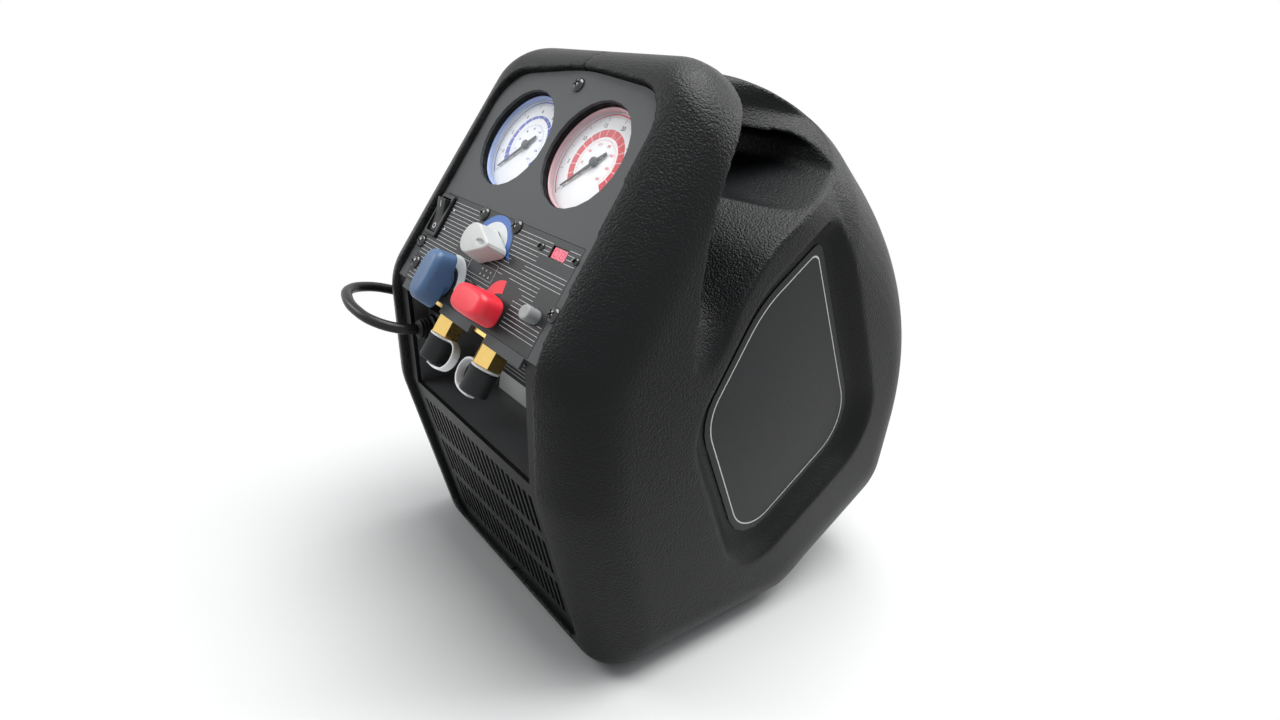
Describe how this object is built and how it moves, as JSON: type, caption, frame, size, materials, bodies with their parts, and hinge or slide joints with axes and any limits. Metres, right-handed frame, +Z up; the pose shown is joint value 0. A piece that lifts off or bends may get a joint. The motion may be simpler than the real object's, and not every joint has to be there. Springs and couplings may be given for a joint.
{
  "type": "refrigerant recovery machine",
  "caption": "Portable machine in a two-half moulded case with a top handle, a sloped gauge and control panel, recessed hose ports and a louvred front grille.",
  "frame": {"origin": "on the floor under the middle of the machine's bounding box, without its mains cord", "axes": "+Z up, -Y out of the front with the controls, +X to the right for someone facing the front"},
  "size_m": [0.3547, 0.39, 0.3673],
  "materials": {
    "case_black": "satin textured black",
    "panel_grey": "fine dark grey powder coat",
    "overlay_film": "dark grey printed film with fine lines",
    "label_grey": "plain dark grey label",
    "black_plastic": "black moulded plastic",
    "dial_white": "white printed dial",
    "clear_lens": "clear lens",
    "knob_grey": "light grey plastic",
    "knob_blue": "blue plastic",
    "knob_red": "red plastic",
    "brass": "machined brass",
    "steel": "plain steel",
    "cast_alloy": "cast aluminium",
    "coil_fins": "aluminium fins",
    "black_rubber": "black rubber",
    "strap_white": "translucent white plastic strap",
    "black_screw": "black oxide screw",
    "display_red": "dark red display window",
    "circuit_board": "green board",
    "cord_black": "black cord sheath"
  },
  "bodies": {
    "machine": {"case_left": "case_black", "case_right": "case_black", "side_label_left": "label_grey", "side_label_right": "label_grey", "control_panel": "panel_grey", "panel_overlay": "overlay_film", "front_grille": "black_plastic", "port_tray": "black_plastic", "low_gauge_body": "black_plastic", "low_gauge_dial": "dial_white", "low_gauge_lens": "clear_lens", "high_gauge_body": "black_plastic", "high_gauge_dial": "dial_white", "high_gauge_lens": "clear_lens", "switch_bezel": "black_plastic", "pressure_switch": "steel", "display_module": "display_red", "display_screw_left": "black_screw", "display_screw_right": "black_screw", "circuit_board": "circuit_board", "panel_screw_top": "black_screw", "panel_screw_left": "black_screw", "panel_screw_right": "black_screw", "panel_screw_low": "black_screw", "panel_screw_middle": "black_screw", "panel_screw_knob_left": "black_screw", "panel_screw_knob_right": "black_screw", "inlet_valve": "brass", "outlet_valve": "brass", "function_valve": "brass", "condenser_coil": "coil_fins", "fan_shroud": "black_plastic", "fan_motor": "steel", "compressor": "cast_alloy", "compressor_motor": "steel", "base_plate": "steel", "foot_front_left": "black_rubber", "foot_front_right": "black_rubber", "foot_rear_left": "black_rubber", "foot_rear_right": "black_rubber", "rear_grille": "black_plastic", "cord_gland": "black_rubber", "power_cord": "cord_black", "cord_coil": "cord_black", "plug": "cord_black"},
    "function_selector": {"function_knob": "knob_grey"},
    "inlet_handle": {"inlet_knob": "knob_blue"},
    "outlet_handle": {"outlet_knob": "knob_red"},
    "rocker": {"switch_rocker": "black_plastic"},
    "reset": {"reset_button": "knob_grey"},
    "low_needle": {"low_gauge_needle": "black_plastic"},
    "high_needle": {"high_gauge_needle": "black_plastic"},
    "fan": {"fan_rotor": "black_plastic"},
    "inlet_cap_set": {"inlet_cap": "black_rubber", "inlet_strap": "strap_white"},
    "outlet_cap_set": {"outlet_cap": "black_rubber", "outlet_strap": "strap_white"}
  },
  "joints": [
    {"name": "function_turn", "type": "hinge", "parent": "machine", "child": "function_selector", "pos_m": [-0.004, -0.15581, 0.24852], "axis": [0, -0.9041, 0.4274], "range_deg": [0, 180]},
    {"name": "inlet_turn", "type": "hinge", "parent": "machine", "child": "inlet_handle", "pos_m": [-0.0263, -0.16876, 0.22113], "axis": [0, -0.9041, 0.4274], "range_deg": [-90, 0]},
    {"name": "outlet_turn", "type": "hinge", "parent": "machine", "child": "outlet_handle", "pos_m": [0.0263, -0.16876, 0.22113], "axis": [0, -0.9041, 0.4274], "range_deg": [0, 90]},
    {"name": "rocker_tip", "type": "hinge", "parent": "machine", "child": "rocker", "pos_m": [-0.07, -0.1538, 0.25277], "axis": [1, 0, 0], "range_deg": [-24, 0]},
    {"name": "reset_press", "type": "slide", "parent": "machine", "child": "reset", "axis": [0, 0.9041, -0.4274], "range_m": [0, 0.003], "stiffness_N_per_m": 150},
    {"name": "low_needle_turn", "type": "hinge", "parent": "machine", "child": "low_needle", "pos_m": [-0.035, -0.12739, 0.30864], "axis": [0, -0.9041, 0.4274], "range_deg": [-270, 0]},
    {"name": "high_needle_turn", "type": "hinge", "parent": "machine", "child": "high_needle", "pos_m": [0.035, -0.12739, 0.30864], "axis": [0, -0.9041, 0.4274], "range_deg": [-270, 0]},
    {"name": "fan_spin", "type": "hinge", "parent": "machine", "child": "fan", "pos_m": [0, -0.13278, 0.06877], "axis": [0, -0.9252, -0.3795], "continuous": true},
    {"name": "inlet_cap_pull", "type": "slide", "parent": "machine", "child": "inlet_cap_set", "axis": [0, -0.4274, -0.9041], "range_m": [0, 0.012]},
    {"name": "outlet_cap_pull", "type": "slide", "parent": "machine", "child": "outlet_cap_set", "axis": [0, -0.4274, -0.9041], "range_m": [0, 0.012]}
  ]
}
